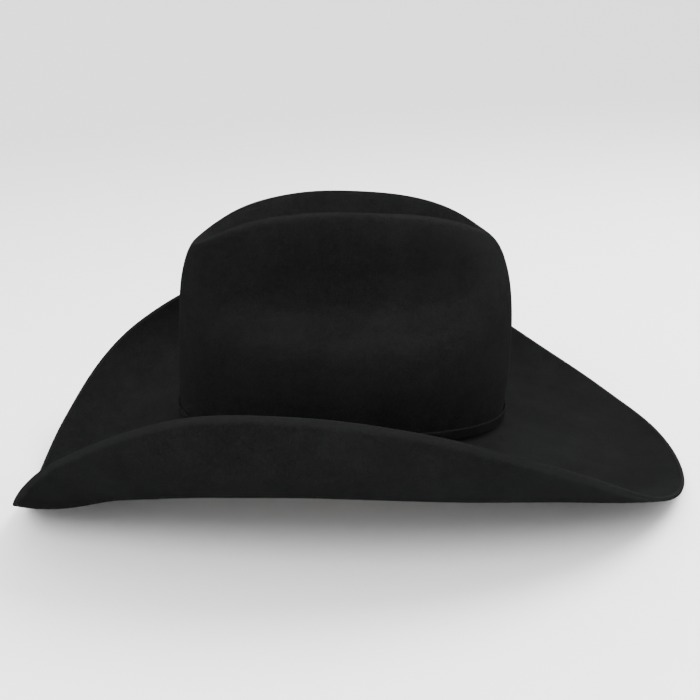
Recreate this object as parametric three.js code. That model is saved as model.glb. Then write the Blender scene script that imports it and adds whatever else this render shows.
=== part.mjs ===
// Western felt hat, cattleman crease. Millimetres, +Z up, +X to the front, +Y to the wearer's left.
// It rests on the front and back tips of its brim, on the plane z = 0.
//
// Every piece is first drawn in the hat's own frame, whose origin is the centre of the head oval where
// crown and brim meet. seat() then leans the whole hat back so that both brim tips touch the ground.

import * as THREE from 'three';
import { ParametricGeometry } from 'three/addons/geometries/ParametricGeometry.js';
import { mergeVertices } from 'three/addons/utils/BufferGeometryUtils.js';

// ---------------------------------------------------------------- driving dimensions

// Felt's outside where crown and brim meet: an oval a little squarer than an ellipse.
const HEAD = { half_length: 101, half_width: 85, centre: 2.5, squareness: 2.12 };
const FELT = 2.4;                                // thickness of the felt
const BREAK_FILLET = { up: 0.32, out: 0.036 };   // reach up the crown, in steps, and out, in brim widths

// Brim: front, side and back values, then slopes in degrees every 20 degrees from front to back.
const BRIM_WIDTH = [115, 120, 112];
const BREAK_HEIGHT = [-5.5, 1.5, -6];
const SLOPE_AT_CROWN = [-52, -48.5, -37, -27, -20, -20, -20.5, -20, -20, -28];
const SLOPE_AT_EDGE = [4, 26, 75, 105.5, 103, 91, 63, 25.5, 6.5, 16];
const SLOPE_POWER = 1.36;

// Crown sections from the break up to the crease's floor, as [share of the way out, height].
const SIDE_SECTION = [
  [1, 0], [1.012, 14], [1.018, 30], [0.995, 43], [0.935, 55.5], [0.803, 65.5], [0.658, 75],
  [0.607, 88.5], [0.598, 103], [0.576, 117], [0.513, 126.3], [0.414, 123.3], [0.22, 108], [0, 99],
];
const FRONT_SECTION = [
  [1, 0], [1.006, 14], [1.005, 30], [0.997, 42], [0.989, 53.5], [0.978, 64], [0.965, 73],
  [0.94, 81.5], [0.894, 90], [0.83, 97.5], [0.74, 102], [0.54, 101.5], [0.26, 96], [0, 92],
];
const BACK_SECTION = [
  [1, 0], [1.048, 14], [1.082, 28], [1.087, 42], [1.083, 55.5], [1.06, 68], [1.024, 79],
  [0.965, 89], [0.865, 99], [0.725, 106], [0.535, 110.5], [0.385, 110], [0.183, 104.5], [0, 100],
];
const CREASE = { front: 56.5, back: 65 };        // half lengths of the crease's spine
const DENT_SPREAD = 1.26;                        // how far towards the ends the side dents reach
const DENT_RISE = 2.4;                           // how far, in steps, its lower edge curves up there

// Lining: the same kind of sections, a little inside the felt and blunt under the ridges.
const LINING_SIDE = [
  [0.945, 0], [0.945, 14], [0.955, 30], [0.94, 41], [0.88, 52], [0.745, 61.5], [0.61, 71],
  [0.555, 84], [0.54, 97], [0.515, 107], [0.45, 113], [0.365, 111.5], [0.2, 101.5], [0, 94.5],
];
const LINING_FRONT = [
  [0.905, 0], [0.91, 14], [0.915, 29], [0.91, 40.5], [0.902, 51], [0.89, 61], [0.872, 69.5],
  [0.84, 77.5], [0.79, 85], [0.72, 91.5], [0.63, 95], [0.46, 95], [0.22, 91], [0, 87.5],
];
const LINING_BACK = [
  [0.91, 0], [0.93, 14], [0.955, 27], [0.975, 40.5], [0.97, 53.5], [0.95, 65], [0.91, 75.5],
  [0.85, 85], [0.76, 93.5], [0.64, 99.5], [0.48, 103.5], [0.34, 103.5], [0.165, 99.5], [0, 95.5],
];
const SATIN = 0.5;
const LINING_SIDE_STEPS = [2, 2.8, 3.6, 4.3, 5, 5.8, 6.6, 7.7, 8.8];
const LINING_TIP_STEPS = [9.1, 9.8, 10.5, 11.2, 12, 13];
const SHIELD = { steps: [10.9, 11.6, 12.3, 13], thickness: 0.4, drop: 1 };

// Bands, as corners of their cross-sections: [inset from the felt's outside, height above the break].
const HATBAND = [[-0.7, 2.4], [-2.1, 2.4], [-1.9, 9], [-0.5, 9]];
const SWEATBAND = [[3.8, 1.1], [4.9, 1.1], [9.1, 44], [8, 44]];
const REED = { inset: 4.8, height: -1.2, radius: 1 };
const REED_TAPE = { inner: 1.3, outer: 1.75, top: 9, lip: 0.4 };
const SEAM_TAPE = { half_width: 6, thickness: 0.6, bottom: 4, top: 40 };
const BOW = { width: 24, height: 10, thickness: 1.4, knot: 5.5, at_height: 7.5, stand: 1.2 };
const SIZE_TAG = { at: 2.72, half_width: 7, bottom: 33, top: 53, thickness: 0.35 };

// Buckle set on the wearer's left: where it starts, then angles along the band.
const BUCKLE = { at: 1.2, width: 12, height: 9.6, bar: 1.6, thickness: 1.5 };
const STRAP = { from: 1.275, to: 1.56, bottom: 2.6, top: 8.4, thickness: 1.2 };
const KEEPER = { from: 1.335, to: 1.37, bottom: 1.1, top: 9.9, wall: 0.8 };
const TIP = { from: 1.5, to: 1.585, bottom: 1.9, top: 9.1, wall: 0.6 };
const BAND_FACE = 2.5;        // how far the buckle set stands out from the crown's wall

// Rest on the brim tips: lean of the hat, and where the hat's own origin then lies.
const LEAN = 4.66 * Math.PI / 180;
const SEAT = { x: 0, z: 44.75 };

const AROUND = 60;

// ---------------------------------------------------------------- shape of the hat

const smooth = (x) => { const k = Math.min(1, Math.max(0, x)); return k * k * (3 - 2 * k); };
const power = (x, p) => Math.sign(x) * Math.abs(x) ** p;

// Point of the head oval and its outward direction; inset moves the point inwards.
function oval(phi, inset = 0) {
  const c = Math.cos(phi), s = Math.sin(phi);
  const nx = power(c, 2 - 2 / HEAD.squareness) / HEAD.half_length;
  const ny = power(s, 2 - 2 / HEAD.squareness) / HEAD.half_width;
  const n = Math.hypot(nx, ny);
  return {
    x: HEAD.centre + HEAD.half_length * power(c, 2 / HEAD.squareness) - inset * nx / n,
    y: HEAD.half_width * power(s, 2 / HEAD.squareness) - inset * ny / n,
    nx: nx / n,
    ny: ny / n,
  };
}

// Smooth value around the hat from its front, side and back values.
function threeWay([front, side, back], phi) {
  const c = Math.cos(phi);
  return side + (front - back) / 2 * c + ((front + back) / 2 - side) * c * c;
}

// Smooth value around the hat from a list that runs from front to back and is the same on both sides.
function listWay(list, phi) {
  const ring = [...list, ...list.slice(1, -1).reverse()], n = ring.length;
  const k = phi / (2 * Math.PI) * n, i = Math.floor(k), s = k - i;
  const [a, b, c, d] = [-1, 0, 1, 2].map((j) => ring[(i + j + n) % n]);
  return b + 0.5 * s * (c - a + s * (2 * a - 5 * b + 4 * c - d + s * (3 * (b - c) + d - a)));
}

// Brim's upper face: the slope turns from its value at the crown to its value at the edge, and the
// point is the sum of small steps along that slope.
function brim(phi, share, steps = 24) {
  const from = listWay(SLOPE_AT_CROWN, phi) * Math.PI / 180;
  const to = listWay(SLOPE_AT_EDGE, phi) * Math.PI / 180;
  const width = threeWay(BRIM_WIDTH, phi);
  let out = 0, up = 0;
  for (let i = 0; i < steps; i += 1) {
    const slope = from + (to - from) * (share * (i + 0.5) / steps) ** SLOPE_POWER;
    out += Math.cos(slope) * width * share / steps;
    up += Math.sin(slope) * width * share / steps;
  }
  const o = oval(phi);
  return new THREE.Vector3(o.x + o.nx * out, o.y + o.ny * out, threeWay(BREAK_HEIGHT, phi) + up);
}

// Smooth curve through a section's points; step runs from 0 to the last point's number.
function along(section, step) {
  const last = section.length - 1, i = Math.min(last - 1, Math.floor(step)), s = step - i;
  const slope = (k, j) => {
    if (k === 0) return section[1][j] - section[0][j];
    if (k === last) return j === 1 ? 0 : section[last][j] - section[last - 1][j];
    return (section[k + 1][j] - section[k - 1][j]) / 2;
  };
  return [0, 1].map((j) => (2 * s ** 3 - 3 * s ** 2 + 1) * section[i][j] + (s ** 3 - 2 * s ** 2 + s) * slope(i, j)
    + (3 * s ** 2 - 2 * s ** 3) * section[i + 1][j] + (s ** 3 - s ** 2) * slope(i + 1, j));
}

// Crown surface from three sections: each path runs from the head oval to the crease's spine. The side's
// section comes later towards the ends, so that the dent's lower edge curves up there.
function crown(phi, step, side = SIDE_SECTION, front = FRONT_SECTION, back = BACK_SECTION) {
  const c = Math.cos(phi), o = oval(phi);
  const weight = smooth(Math.abs(Math.sin(phi)) / DENT_SPREAD) / smooth(1 / DENT_SPREAD);
  const late = DENT_RISE * (1 - weight) * smooth((step - 1) / 4) * smooth((11 - step) / 4);
  const atSide = along(side, step - late), atEnd = along(c > 0 ? front : back, step);
  const share = weight * atSide[0] + (1 - weight) * atEnd[0];
  const height = weight * atSide[1] + (1 - weight) * atEnd[1];
  const spine = HEAD.centre + ((CREASE.front + CREASE.back) / 2 + (CREASE.front - CREASE.back) / 2 * c) * c;
  return new THREE.Vector3(
    spine + (o.x - spine) * share,
    o.y * share,
    height + threeWay(BREAK_HEIGHT, phi) * (1 - smooth(step / 2)),
  );
}

// Felt's outside: walk 0 to 13 comes down the crown, 13 to 14 goes out along the brim, and a fillet
// rounds the break between them.
const TOP = SIDE_SECTION.length - 1;

function feltTop(phi, walk) {
  const up = BREAK_FILLET.up, out = BREAK_FILLET.out;
  if (walk < TOP - up) return crown(phi, TOP - walk);
  if (walk > TOP + out) return brim(phi, walk - TOP);
  const s = (walk - TOP + up) / (up + out);
  return crown(phi, up).multiplyScalar((1 - s) ** 2)
    .addScaledVector(brim(phi, 0), 2 * s * (1 - s))
    .addScaledVector(brim(phi, out), s * s);
}

// Outward normal of any surface point(phi, walk) whose walk runs outwards; on the spine it leans neither way.
function normalOf(point, phi, walk, last) {
  const e = 1e-3, w = Math.max(walk, 2 * e);
  const down = point(phi, Math.min(last, w + e)).sub(point(phi, w - e));
  const round = point(phi + e, w).sub(point(phi - e, w));
  const normal = down.cross(round);
  if (walk === 0) normal.y = 0;
  return normal.normalize();
}

const feltUnder = (phi, walk) => feltTop(phi, walk).addScaledVector(normalOf(feltTop, phi, walk, TOP + 1), -FELT);
const liningTop = (phi, walk) => crown(phi, TOP - walk, LINING_SIDE, LINING_FRONT, LINING_BACK);

// ---------------------------------------------------------------- builders

// Closed body from point functions of the angle. A ring's stations form a closed loop. A zipped body's
// first and last stations are lines on the middle plane, where its two sides meet.
function wrap(stations, { zipped = false, around = AROUND, from = 0, to = 2 * Math.PI } = {}) {
  const whole = to - from > 6, loop = zipped ? stations : [...stations, stations[0]];
  return new ParametricGeometry((u, v, target) => {
    const phi = from + (to - from) * (whole ? u % 1 : u);
    target.copy(loop[Math.round(v * (loop.length - 1))](phi));
    if (zipped && (v === 0 || v === 1)) target.set(Math.round(target.x * 1e4) / 1e4, 0, target.z);
  }, around, loop.length - 1);
}

// Faces over the two ends of a piece that doesn't go all the way round; its corners are the section's outline.
function closeEnds(geometry, row, corners) {
  const outline = corners.map(([inset, height]) => new THREE.Vector2(inset, height));
  const index = [...geometry.index.array];
  for (const face of THREE.ShapeUtils.triangulateShape(outline, [])) {
    const [a, b, c] = (THREE.ShapeUtils.isClockWise(outline) ? face.reverse() : face).map((k) => k * row);
    index.push(a, b, c, c + row - 1, b + row - 1, a + row - 1);
  }
  geometry.setIndex(index);
  return geometry;
}

// How far the crown's wall stands outside the head oval, low on the crown.
function bulge(phi, height) {
  const o = oval(phi), wall = crown(phi, height / SIDE_SECTION[1][1]);
  return Math.max(0, (wall.x - o.x) * o.nx + (wall.y - o.y) * o.ny);
}

// Corner of a band: inset is taken from the oval inside the hat, and from the bulging wall outside it.
const onBand = ([inset, height]) => (phi) => {
  const o = oval(phi, inset > 0 ? inset : inset - bulge(phi, height));
  return new THREE.Vector3(o.x, o.y, height + threeWay(BREAK_HEIGHT, phi));
};

function band(corners, options = {}) {
  const geometry = wrap(corners.map(onBand), options);
  return options.to ? closeEnds(geometry, options.around + 1, corners) : geometry;
}

// Strap that is bent round the wall: its inner face stands out by stand.
const strap = ({ from, to, bottom, top }, stand, thickness, around) => band([
  [-stand, bottom], [-stand - thickness, bottom], [-stand - thickness, top], [-stand, top],
], { from, to, around });

// Thin sheet under the surface point(phi, walk).
function sheet(steps, drop, thickness, zipped) {
  const at = (step, depth) => (phi) => liningTop(phi, TOP - step)
    .addScaledVector(normalOf(liningTop, phi, TOP - step, TOP), -depth);
  const outer = steps.map((s) => at(s, drop)), inner = steps.map((s) => at(s, drop + thickness));
  return zipped ? wrap([...outer.reverse(), ...inner], { zipped, around: 48 })
    : wrap([...outer, ...inner.reverse()], { around: 48 });
}

// Plane on the crown's wall: x along the band towards the back, y up, z straight out.
function onWall(phi, inset, height) {
  const o = oval(phi, inset);
  const out = new THREE.Vector3(o.nx, o.ny, 0), up = new THREE.Vector3(0, 0, 1);
  return new THREE.Matrix4().makeBasis(new THREE.Vector3().crossVectors(up, out), up, out)
    .setPosition(o.x, o.y, height + threeWay(BREAK_HEIGHT, phi));
}

function rounded(path, w, h, r, x = 0) {
  const corners = [[1, -1, -0.5], [1, 1, 0], [-1, 1, 0.5], [-1, -1, 1]];
  for (const [i, j, turn] of corners) {
    path.absarc(x + i * (w / 2 - r), j * (h / 2 - r), r, turn * Math.PI, (turn + 0.5) * Math.PI);
  }
  return path;
}

const plate = (shape, depth) => new THREE.ExtrudeGeometry(shape, { depth, bevelEnabled: false, curveSegments: 3 });

// ---------------------------------------------------------------- felt

// Crown and brim are one piece of felt: its upper face out to the raw brim edge, and back underneath.
function feltBody() {
  const walks = [0, 0.7, 1.3, 1.9, 2.35, 2.75, 3.2, 3.8, 4.6, 5.4, 6.1, 6.8, 7.5, 8.3, 9.2, 10.2, 11.5, 12.68,
    12.84, 13.036, 13.14, 13.28, 13.43, 13.58, 13.73, 13.87, 14];
  return wrap([
    ...walks.map((walk) => (phi) => feltTop(phi, walk)),
    ...walks.reverse().map((walk) => (phi) => feltUnder(phi, walk)),
  ], { zipped: true });
}

// ---------------------------------------------------------------- hatband and its buckle set

const hatband = () => band(HATBAND);

// One casting: frame and centre bar.
function buckle() {
  const shape = rounded(new THREE.Shape(), BUCKLE.width, BUCKLE.height, 2);
  const w = (BUCKLE.width - 3 * BUCKLE.bar) / 2, h = BUCKLE.height - 2 * BUCKLE.bar;
  for (const side of [-1, 1]) shape.holes.push(rounded(new THREE.Path(), w, h, 0.8, side * (w + BUCKLE.bar) / 2));
  const middle = (STRAP.bottom + STRAP.top) / 2;
  return plate(shape, BUCKLE.thickness).applyMatrix4(onWall(BUCKLE.at, -BAND_FACE - 0.8, middle));
}

const bandEnd = () => strap(STRAP, BAND_FACE, STRAP.thickness, 8);

// Metal that folds over the strap's edges towards the wall: a keeper in the middle, a cap at the end.
function fold({ from, to, bottom, top, wall }, around) {
  const front = BAND_FACE + STRAP.thickness + 0.3, back = BAND_FACE - 0.2;
  return band([
    [-back, bottom], [-front - wall, bottom], [-front - wall, top], [-back, top],
    [-back, top - wall], [-front, top - wall], [-front, bottom + wall], [-back, bottom + wall],
  ], { from, to, around });
}

// ---------------------------------------------------------------- sweatband

const sweatband = () => band(SWEATBAND);

const turns = (count) => Array.from({ length: count }, (_, k) => k);

const reed = () => band(turns(6).map((k) => [
  REED.inset + REED.radius * Math.cos(k * Math.PI / 3), REED.height + REED.radius * Math.sin(k * Math.PI / 3),
]), { around: 48 });

// Tape that runs up behind the leather and folds round under the reed.
function reedTape() {
  const { inner, outer, top, lip } = REED_TAPE;
  const arc = (r) => turns(5).map((k) => Math.PI * (1 + k / 4))
    .map((a) => [REED.inset + r * Math.cos(a), REED.height + r * Math.sin(a)]);
  return band([
    [REED.inset - outer, top], ...arc(outer), [REED.inset + outer, lip],
    [REED.inset + inner, lip], ...arc(inner).reverse(), [REED.inset - inner, top],
  ], { around: 48 });
}

// Inset of the leather's inner face at a height.
const leatherFace = (z) => SWEATBAND[1][0]
  + (SWEATBAND[2][0] - SWEATBAND[1][0]) * (z - SWEATBAND[1][1]) / (SWEATBAND[2][1] - SWEATBAND[1][1]);

// Cover strip over the joint of the leather at the back.
function seamTape() {
  const { half_width, thickness, bottom, top } = SEAM_TAPE, a = half_width / (HEAD.half_width * 0.9);
  const [low, high] = [leatherFace(bottom) + 0.35, leatherFace(top) + 0.35];
  return band([[low, bottom], [low + thickness, bottom], [high + thickness, top], [high, top]],
    { from: Math.PI - a, to: Math.PI + a, around: 6 });
}

// Flat plane just inside the cover strip at the back, facing the head.
function inside(height, stand) {
  return onWall(Math.PI, leatherFace(height) + 0.35 + SEAM_TAPE.thickness + stand, height)
    .multiply(new THREE.Matrix4().makeRotationY(Math.PI));
}

function bowLoops() {
  const { width, height, thickness, knot } = BOW, shape = new THREE.Shape();
  for (const side of [1, -1]) {
    const w = side * width / 2, h = side * height / 2, k = side * knot / 2;
    if (side === 1) shape.moveTo(-k * 0.4, -height * 0.14);
    shape.lineTo(k * 0.4, -h * 0.28);
    shape.quadraticCurveTo(w * 0.6, -h * 1.1, w, -h * 0.8);
    shape.quadraticCurveTo(w * 0.86, 0, w, h * 0.8);
    shape.quadraticCurveTo(w * 0.6, h * 1.1, k * 0.4, h * 0.28);
  }
  return plate(shape, thickness).applyMatrix4(inside(BOW.at_height, BOW.stand));
}

function bowKnot() {
  const { height, thickness, knot } = BOW;
  return plate(rounded(new THREE.Shape(), knot, height * 0.45, 1), thickness)
    .applyMatrix4(inside(BOW.at_height, BOW.stand + thickness + 0.35));
}

function sizeTag() {
  const { at, half_width, bottom, top, thickness } = SIZE_TAG, a = half_width / HEAD.half_width;
  const face = (z) => leatherFace(z) - 1.1 - 0.35 - thickness;
  return band([[face(bottom), bottom], [face(bottom) + thickness, bottom], [face(top) + thickness, top], [face(top), top]],
    { from: at - a, to: at + a, around: 6 });
}

// ---------------------------------------------------------------- assembly

const look = (color, roughness, metalness = 0, extra = {}) => ({ color, roughness, metalness, ...extra });
const BLACK_FELT = look(0x1b1c1c, 0.95);
const BROWN_LEATHER = look(0x4a2c1a, 0.6);
const BLACK_RIBBON = look(0x141414, 0.7);
const CREAM_SATIN = look(0xd8cdb8, 0.45);
const SILVER = look(0xb8b8b8, 0.3, 1);
const CLEAR = look(0xf2f4f5, 0.1, 0, { transparent: true, opacity: 0.35 });

const PIECES = {
  felt_body: [feltBody(), BLACK_FELT],
  hatband: [hatband(), BLACK_FELT],
  band_end: [bandEnd(), BLACK_FELT],
  buckle: [buckle(), SILVER],
  keeper: [fold(KEEPER, 2), SILVER],
  band_tip: [fold(TIP, 3), SILVER],
  sweatband: [sweatband(), BROWN_LEATHER],
  reed: [reed(), look(0xe8e8e4, 0.4)],
  reed_tape: [reedTape(), BLACK_RIBBON],
  seam_tape: [seamTape(), BROWN_LEATHER],
  bow_loops: [bowLoops(), BLACK_RIBBON],
  bow_knot: [bowKnot(), BLACK_RIBBON],
  size_tag: [sizeTag(), look(0xf0eee8, 0.8)],
  lining_side: [sheet(LINING_SIDE_STEPS, 0, SATIN, false), CREAM_SATIN],
  lining_tip: [sheet(LINING_TIP_STEPS, 0, SATIN, true), CREAM_SATIN],
  tip_shield: [sheet(SHIELD.steps, SHIELD.drop, SHIELD.thickness, true), CLEAR],
};

// Welded, with its faces outwards, and seated on the ground.
function finish(geometry) {
  const bare = new THREE.BufferGeometry().setAttribute('position', geometry.getAttribute('position').clone());
  bare.setIndex(geometry.index ? [...geometry.index.array] : null);
  const body = mergeVertices(bare, 1e-4);
  const p = body.getAttribute('position'), index = [...body.index.array];
  const corner = (k) => new THREE.Vector3().fromBufferAttribute(p, index[k]);
  let volume = 0;
  for (let k = 0; k < index.length; k += 3) volume += corner(k).dot(corner(k + 1).cross(corner(k + 2)));
  if (volume < 0) index.reverse();
  body.setIndex(index);
  body.applyMatrix4(new THREE.Matrix4().makeRotationY(-LEAN).setPosition(SEAT.x, 0, SEAT.z));
  body.computeVertexNormals();
  return body;
}

const hat = new THREE.Group();
hat.name = 'western_hat';
for (const [name, [geometry, material]] of Object.entries(PIECES)) {
  const mesh = new THREE.Mesh(finish(geometry), new THREE.MeshStandardMaterial(material));
  mesh.name = name;
  hat.add(mesh);
}

export default hat;
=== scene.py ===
"""Looks of a western hat in black fur felt, in metres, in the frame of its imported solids.

The shapes are worked out in millimetres in the hat's own frame: origin at the centre of the head oval where
crown and brim meet, +X to the front, +Y to the wearer's left, +Z up. seat() leans the hat back on its two
brim tips and turns millimetres into metres.
"""

import math

import bmesh
import bpy
import numpy as np
from mathutils import Matrix, Vector


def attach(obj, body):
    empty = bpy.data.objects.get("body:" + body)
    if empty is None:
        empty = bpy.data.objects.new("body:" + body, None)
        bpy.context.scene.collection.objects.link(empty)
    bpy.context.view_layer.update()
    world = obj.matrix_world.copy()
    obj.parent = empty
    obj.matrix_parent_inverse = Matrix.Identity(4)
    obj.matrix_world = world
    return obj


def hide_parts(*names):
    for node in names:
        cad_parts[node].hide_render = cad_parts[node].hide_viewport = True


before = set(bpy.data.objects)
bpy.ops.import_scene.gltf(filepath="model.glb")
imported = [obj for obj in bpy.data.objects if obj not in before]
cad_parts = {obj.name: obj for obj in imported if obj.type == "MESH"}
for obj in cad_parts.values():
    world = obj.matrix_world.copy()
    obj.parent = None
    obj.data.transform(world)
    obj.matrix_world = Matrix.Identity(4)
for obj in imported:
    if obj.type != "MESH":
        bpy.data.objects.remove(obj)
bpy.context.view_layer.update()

# ------------------------------------------------------------------------------ dimensions (mm, degrees)

HEAD_LENGTH, HEAD_WIDTH, HEAD_CENTRE = 101, 85, 2.5 # half sizes of the felt at the break, its middle along X
SQUARENESS = 2.12                                   # power of the head's superellipse
FELT = 2.4
FILLET_UP, FILLET_OUT = 0.32, 0.036                 # reach up the crown in steps, and out in brim widths

BRIM_WIDTH = (115, 120, 112)                        # front, side, back
BREAK_HEIGHT = (-5.5, 1.5, -6)
SLOPE_AT_CROWN = (-52, -48.5, -37, -27, -20, -20, -20.5, -20, -20, -28)     # every 20 degrees, front to back
SLOPE_AT_EDGE = (4, 26, 75, 105.5, 103, 91, 63, 25.5, 6.5, 16)
SLOPE_POWER = 1.36

# Sections of the crown, from the break to the spine: share of the way from spine to oval, height.
SIDE_SECTION = (
    (1, 0), (1.012, 14), (1.018, 30), (0.995, 43), (0.935, 55.5), (0.803, 65.5), (0.658, 75),
    (0.607, 88.5), (0.598, 103), (0.576, 117), (0.513, 126.3), (0.414, 123.3), (0.22, 108), (0, 99))
FRONT_SECTION = (
    (1, 0), (1.006, 14), (1.005, 30), (0.997, 42), (0.989, 53.5), (0.978, 64), (0.965, 73),
    (0.94, 81.5), (0.894, 90), (0.83, 97.5), (0.74, 102), (0.54, 101.5), (0.26, 96), (0, 92))
BACK_SECTION = (
    (1, 0), (1.048, 14), (1.082, 28), (1.087, 42), (1.083, 55.5), (1.06, 68), (1.024, 79),
    (0.965, 89), (0.865, 99), (0.725, 106), (0.535, 110.5), (0.385, 110), (0.183, 104.5), (0, 100))
FELT_SECTIONS = (SIDE_SECTION, FRONT_SECTION, BACK_SECTION)
CREASE_FRONT, CREASE_BACK = 56.5, 65
DENT_SPREAD, DENT_RISE = 1.26, 2.4
DENT_FROM, DENT_TO, DENT_FADE = 1, 11, 4            # steps between which the dent's edge is moved
TOP = len(SIDE_SECTION) - 1

LINING_SECTIONS = (
    ((0.945, 0), (0.945, 14), (0.955, 30), (0.94, 41), (0.88, 52), (0.745, 61.5), (0.61, 71),
     (0.555, 84), (0.54, 97), (0.515, 107), (0.45, 113), (0.365, 111.5), (0.2, 101.5), (0, 94.5)),
    ((0.905, 0), (0.91, 14), (0.915, 29), (0.91, 40.5), (0.902, 51), (0.89, 61), (0.872, 69.5),
     (0.84, 77.5), (0.79, 85), (0.72, 91.5), (0.63, 95), (0.46, 95), (0.22, 91), (0, 87.5)),
    ((0.91, 0), (0.93, 14), (0.955, 27), (0.975, 40.5), (0.97, 53.5), (0.95, 65), (0.91, 75.5),
     (0.85, 85), (0.76, 93.5), (0.64, 99.5), (0.48, 103.5), (0.34, 103.5), (0.165, 99.5), (0, 95.5)),
)
SATIN = 0.4
LINING_SEAM = 8.95                                  # step where the lining's side meets its tip
SHIELD_EDGE = 10.9

SWEATBAND_FOOT, SWEATBAND_TOP = (3.8, 1.1), (8.0, 44.0)     # its outer face: inset, height above the break
LEATHER = 1.1
REED = (4.8, -1.2, 1.0)                             # inset, height, radius
BAND_FOOT, BAND_TOP = 2.4, 9.0
BAND_STAND, BAND_THICK = 0.15, 1.5
SEAM_HALF, SEAM_FOOT, SEAM_TOP = 6.0, 4.0, 40.0
BOW_HEIGHT, BOW_WIDTH = 7.5, 24.0
TAG_AT, TAG_HALF, TAG_FOOT, TAG_TOP = 2.72, 7.0, 33.0, 53.0

BUCKLE_AT, STRAP_FROM, STRAP_TO = 1.2, 1.275, 1.56
STRAP_FOOT, STRAP_TOP, STRAP_THICK = 2.6, 8.4, 1.2
KEEPER_FROM, KEEPER_TO = 1.335, 1.37
TIP_FROM, TIP_TO = 1.5, 1.585
STRAP_STAND = 2.5
LAP_EARLY, LAP_SLIM = 0.08, 0.35                    # the strap's lap starts earlier and is thinner here
KEEPER_FOLD, TIP_FOLD = (1.1, 9.9, 0.8), (1.9, 9.1, 0.6)    # foot, top and wall of the folded metal
FOLD_SQUARENESS = 7.0
BUCKLE_SHAPE = (5.15, 3.95, 3.4, 0.8)               # half length, half height, squareness, stand

# Fine shape of the felt and the sewing.
FELT_AROUND = 320
EDGE_ROUND = 0.35
CUT_FROM, CUT_FADE = 0.992, 0.008                   # brim share where the raw edge's lighter fibres and painted highlight start, reach
RIDGE_AT, RIDGE_REACH = 3.05, 0.22                  # walk of the ridge's painted highlight, and how far the highlight spreads
STITCH_RISE, STITCH_SINK = 1.4, 0.4                 # in thread radii
SWEATBAND_STITCH, SEAM_STITCH = 3.6, 3.2            # spacing
RIB = 0.9                                           # spacing of the tape's ribs
BOW_RIBBON, BOW_RIB = 0.3, 0.55
MERGE = 1e-7                                        # metres

# Floor and light, in metres.
FLOOR_FLAT, FLOOR_BEND, WALL_TOP, FLOOR_AROUND = 3, 2, 4.0, 64
SURROUND_STRENGTH = 2.3
LIGHTS = (("large top light", (-0.85, -0.2, 1.3), 1.1, 45), ("side light", (0.75, 1.2, 1.4), 1.0, 30))
LIGHT_AIM = (0, 0, 0.08)

LEAN, LIFT = math.radians(4.66), 44.75

# Camera, in the hat's own frame: what it looks at, from how far and from where.
AIM, DISTANCE, AZIMUTH, ELEVATION, ROLL = (-2.19, 0, 33.2), 644.7, 87.02, 17.23, 0.96
LENS, SENSOR = 52.94, 36.0


def seat(points):
    """Part's metres from the hat's millimetres: a turn by LEAN about the Y axis that lifts the front, then up
    by LIFT."""
    x, y, z = np.moveaxis(np.asarray(points, float), -1, 0)
    turned = (x * math.cos(LEAN) - z * math.sin(LEAN), y, x * math.sin(LEAN) + z * math.cos(LEAN) + LIFT)
    return np.stack(turned, -1) / 1000


# ------------------------------------------------------------------------------ shape of the hat

def power(x, p):
    """Size of x to the power p, with the sign of x."""
    return np.sign(x) * np.abs(x) ** p


def smooth(x):
    """Eases from 0 to 1 as x goes from 0 to 1."""
    k = np.clip(x, 0, 1)
    return k * k * (3 - 2 * k)


def three_way(values, phi):
    """Value around the hat that passes through its front, side and back values as a square of the cosine."""
    front, side, back = values
    c = np.cos(phi)
    return side + (front - back) / 2 * c + ((front + back) / 2 - side) * c * c


def list_way(values, phi):
    """Cubic through values every 20 degrees from front to back, the same on both sides."""
    ring = np.array(values + values[-2:0:-1], float)
    k = phi / (2 * math.pi) * len(ring)
    i = np.floor(k).astype(int)
    s = k - i
    a, b, c, d = (ring[(i + j) % len(ring)] for j in (-1, 0, 1, 2))
    return b + 0.5 * s * (c - a + s * (2 * a - 5 * b + 4 * c - d + s * (3 * (b - c) + d - a)))


def oval(phi, inset=0.0):
    """Superellipse of the head, moved inwards along its own normal by inset. Returns x, y and the normal's
    x, y."""
    c, s = np.cos(phi), np.sin(phi)
    nx, ny = power(c, 2 - 2 / SQUARENESS) / HEAD_LENGTH, power(s, 2 - 2 / SQUARENESS) / HEAD_WIDTH
    n = np.hypot(nx, ny)
    nx, ny = nx / n, ny / n
    x = HEAD_CENTRE + HEAD_LENGTH * power(c, 2 / SQUARENESS) - inset * nx
    return x, HEAD_WIDTH * power(s, 2 / SQUARENESS) - inset * ny, nx, ny


def brim(phi, share, steps=24):
    """Brim's upper face: its slope turns from the crown's value to the edge's as a power of the share of the
    width walked, and the point is the sum of small steps along that slope."""
    phi, share = np.broadcast_arrays(np.asarray(phi, float), np.asarray(share, float))
    start, end = np.radians(list_way(SLOPE_AT_CROWN, phi)), np.radians(list_way(SLOPE_AT_EDGE, phi))
    width = three_way(BRIM_WIDTH, phi)
    middles = (np.arange(steps) + 0.5) / steps
    slope = start[..., None] + (end - start)[..., None] * (share[..., None] * middles) ** SLOPE_POWER
    out, up = np.cos(slope).mean(-1) * width * share, np.sin(slope).mean(-1) * width * share
    x, y, nx, ny = oval(phi)
    return np.stack([x + nx * out, y + ny * out, three_way(BREAK_HEIGHT, phi) + up], -1)


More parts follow.
